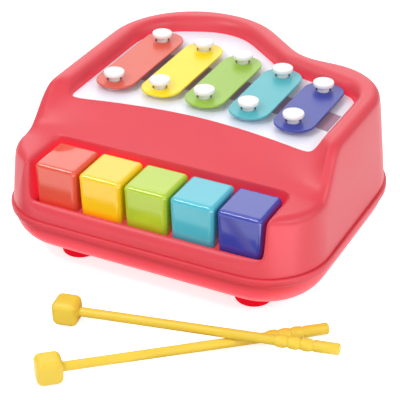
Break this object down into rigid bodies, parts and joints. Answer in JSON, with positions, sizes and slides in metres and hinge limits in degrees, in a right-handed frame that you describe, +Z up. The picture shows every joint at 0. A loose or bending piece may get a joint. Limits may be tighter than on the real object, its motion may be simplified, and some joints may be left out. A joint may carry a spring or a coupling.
{
  "type": "xylophone piano toy",
  "caption": "Toy grand piano with coloured press keys whose levers lift hammers against metal chime bars on the deck, with a pair of separate mallets.",
  "frame": {"origin": "centre of the whole set's box, at floor height, with the mallets lying in front", "axes": "+X to the right of the player, +Y from the player to the back, +Z up"},
  "size_m": [0.2618, 0.3442, 0.1095],
  "materials": {
    "top_shell": "satin red",
    "base_tray": "satin red",
    "deck_plate": "satin white",
    "damping_strip": "mauve felt",
    "lever_rest_strip": "matt black",
    "pivot_rod": "plain",
    "bar_1": "satin orange-red enamel",
    "key_1": "gloss orange-red",
    "hammer_1": "matt grey",
    "key_spring_1": "plain",
    "post_front_1": "white",
    "post_back_1": "white",
    "bar_2": "satin yellow enamel",
    "key_2": "gloss yellow",
    "hammer_2": "matt grey",
    "key_spring_2": "plain",
    "post_front_2": "white",
    "post_back_2": "white",
    "bar_3": "satin green enamel",
    "key_3": "gloss green",
    "hammer_3": "matt grey",
    "key_spring_3": "plain",
    "post_front_3": "white",
    "post_back_3": "white",
    "bar_4": "satin turquoise enamel",
    "key_4": "gloss turquoise",
    "hammer_4": "matt grey",
    "key_spring_4": "plain",
    "post_front_4": "white",
    "post_back_4": "white",
    "bar_5": "satin violet-blue enamel",
    "key_5": "gloss violet-blue",
    "hammer_5": "matt grey",
    "key_spring_5": "plain",
    "post_front_5": "white",
    "post_back_5": "white",
    "screw_1": "plain",
    "screw_2": "plain",
    "screw_3": "plain",
    "screw_4": "plain",
    "screw_5": "plain",
    "screw_6": "plain",
    "foot_front_left": "matt red",
    "foot_front_right": "matt red",
    "foot_back_left": "matt red",
    "foot_back_right": "matt red",
    "upper_mallet_head": "satin yellow",
    "upper_mallet_stick": "satin yellow",
    "lower_mallet_head": "satin yellow",
    "lower_mallet_stick": "satin yellow"
  },
  "bodies": {
    "housing": {"top_shell": "top_shell", "base_tray": "base_tray", "deck_plate": "deck_plate", "damping_strip": "damping_strip", "lever_rest_strip": "lever_rest_strip", "pivot_rod": "pivot_rod", "bar_1": "bar_1", "post_front_1": "post_front_1", "post_back_1": "post_back_1", "bar_2": "bar_2", "post_front_2": "post_front_2", "post_back_2": "post_back_2", "bar_3": "bar_3", "post_front_3": "post_front_3", "post_back_3": "post_back_3", "bar_4": "bar_4", "post_front_4": "post_front_4", "post_back_4": "post_back_4", "bar_5": "bar_5", "post_front_5": "post_front_5", "post_back_5": "post_back_5", "screw_1": "screw_1", "screw_2": "screw_2", "screw_3": "screw_3", "screw_4": "screw_4", "screw_5": "screw_5", "screw_6": "screw_6", "foot_front_left": "foot_front_left", "foot_front_right": "foot_front_right", "foot_back_left": "foot_back_left", "foot_back_right": "foot_back_right", "key_spring_1": "key_spring_1", "key_spring_2": "key_spring_2", "key_spring_3": "key_spring_3", "key_spring_4": "key_spring_4", "key_spring_5": "key_spring_5"},
    "key_lever_1": {"key_1": "key_1", "hammer_1": "hammer_1"},
    "key_lever_2": {"key_2": "key_2", "hammer_2": "hammer_2"},
    "key_lever_3": {"key_3": "key_3", "hammer_3": "hammer_3"},
    "key_lever_4": {"key_4": "key_4", "hammer_4": "hammer_4"},
    "key_lever_5": {"key_5": "key_5", "hammer_5": "hammer_5"},
    "lower_mallet": {"lower_mallet_head": "lower_mallet_head", "lower_mallet_stick": "lower_mallet_stick"},
    "upper_mallet": {"upper_mallet_head": "upper_mallet_head", "upper_mallet_stick": "upper_mallet_stick"}
  },
  "joints": [
    {"name": "key_1_press", "type": "hinge", "parent": "housing", "child": "key_lever_1", "pos_m": [-0.08228, 0.00923, 0.06], "axis": [1, 0, 0], "range_deg": [0, 5], "stiffness_Nm_per_rad": 0.08, "springref_deg": -20.05, "deforming": ["key_spring_1"]},
    {"name": "key_2_press", "type": "hinge", "parent": "housing", "child": "key_lever_2", "pos_m": [-0.04878, 0.00923, 0.06], "axis": [1, 0, 0], "range_deg": [0, 5], "stiffness_Nm_per_rad": 0.08, "springref_deg": -20.05, "deforming": ["key_spring_2"]},
    {"name": "key_3_press", "type": "hinge", "parent": "housing", "child": "key_lever_3", "pos_m": [-0.01528, 0.00923, 0.06], "axis": [1, 0, 0], "range_deg": [0, 5], "stiffness_Nm_per_rad": 0.08, "springref_deg": -20.05, "deforming": ["key_spring_3"]},
    {"name": "key_4_press", "type": "hinge", "parent": "housing", "child": "key_lever_4", "pos_m": [0.01822, 0.00923, 0.06], "axis": [1, 0, 0], "range_deg": [0, 5], "stiffness_Nm_per_rad": 0.08, "springref_deg": -20.05, "deforming": ["key_spring_4"]},
    {"name": "key_5_press", "type": "hinge", "parent": "housing", "child": "key_lever_5", "pos_m": [0.05172, 0.00923, 0.06], "axis": [1, 0, 0], "range_deg": [0, 5], "stiffness_Nm_per_rad": 0.08, "springref_deg": -20.05, "deforming": ["key_spring_5"]},
    {"name": "lower_mallet_lift", "type": "slide", "parent": "housing", "child": "lower_mallet", "axis": [0, 0, 1], "range_m": [0, 0.15]},
    {"name": "upper_mallet_lift", "type": "slide", "parent": "lower_mallet", "child": "upper_mallet", "axis": [0, 0, 1], "range_m": [0, 0.15]}
  ]
}
